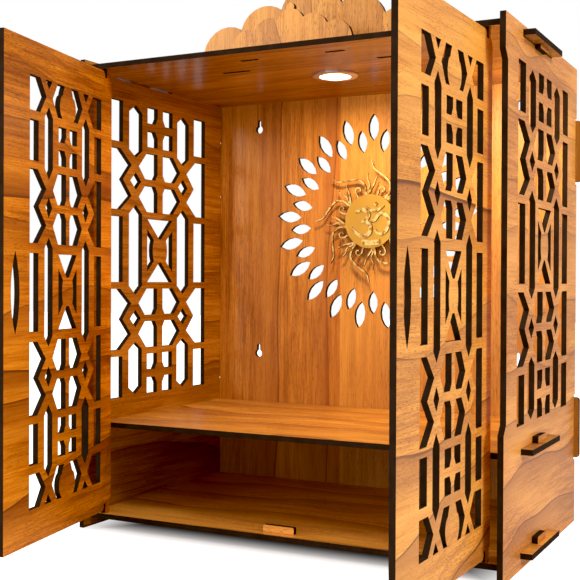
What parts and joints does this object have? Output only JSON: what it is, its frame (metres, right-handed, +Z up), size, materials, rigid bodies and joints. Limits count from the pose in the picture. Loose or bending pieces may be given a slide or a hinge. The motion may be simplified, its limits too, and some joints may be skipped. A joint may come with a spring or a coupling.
{
  "type": "household altar cabinet",
  "caption": "Flat-pack home altar cabinet of slotted fretwork boards, with two hinged doors, a shelf, scalloped crests, a sun medallion and a downlight.",
  "frame": {"origin": "on the floor under the middle of the whole bounding box, doors open as modelled", "axes": "+Z up, +Y towards the back panel, +X to the right of someone facing the open doors"},
  "size_m": [0.483, 0.4766, 0.5749],
  "materials": {
    "back_panel": "teak-look laminate, cut edges burnt dark",
    "bottom_panel": "teak-look laminate, cut edges burnt dark",
    "crest_front": "teak-look laminate, cut edges burnt dark",
    "crest_rear": "teak-look laminate, cut edges burnt dark",
    "door_left": "teak-look laminate, cut edges burnt dark",
    "door_right": "teak-look laminate, cut edges burnt dark",
    "door_stop": "teak-look laminate, cut edges burnt dark",
    "key_bottom_left": "teak-look laminate, cut edges burnt dark",
    "key_bottom_right": "teak-look laminate, cut edges burnt dark",
    "key_shelf_left": "teak-look laminate, cut edges burnt dark",
    "key_shelf_right": "teak-look laminate, cut edges burnt dark",
    "key_top_left": "teak-look laminate, cut edges burnt dark",
    "key_top_right": "teak-look laminate, cut edges burnt dark",
    "led_downlight": "satin",
    "led_lens": "frosted, glowing",
    "shelf": "teak-look laminate, cut edges burnt dark",
    "side_panel_left": "teak-look laminate, cut edges burnt dark",
    "side_panel_right": "teak-look laminate, cut edges burnt dark",
    "sun_medallion": "polished",
    "top_panel": "teak-look laminate, cut edges burnt dark"
  },
  "bodies": {
    "cabinet": {"back_panel": "back_panel", "bottom_panel": "bottom_panel", "crest_front": "crest_front", "crest_rear": "crest_rear", "door_stop": "door_stop", "key_bottom_left": "key_bottom_left", "key_bottom_right": "key_bottom_right", "key_shelf_left": "key_shelf_left", "key_shelf_right": "key_shelf_right", "key_top_left": "key_top_left", "key_top_right": "key_top_right", "led_downlight": "led_downlight", "led_lens": "led_lens", "shelf": "shelf", "side_panel_left": "side_panel_left", "side_panel_right": "side_panel_right", "sun_medallion": "sun_medallion", "top_panel": "top_panel"},
    "door_left": {"door_left": "door_left"},
    "door_right": {"door_right": "door_right"}
  },
  "joints": [
    {"name": "door_left_hinge", "type": "hinge", "parent": "cabinet", "child": "door_left", "pos_m": [-0.20885, -0.03125, 0.2525], "axis": [0, 0, 1], "range_deg": [-46, 78.8]},
    {"name": "door_right_hinge", "type": "hinge", "parent": "cabinet", "child": "door_right", "pos_m": [0.20885, -0.03125, 0.2525], "axis": [0, 0, 1], "range_deg": [-88.5, 36.5]}
  ]
}
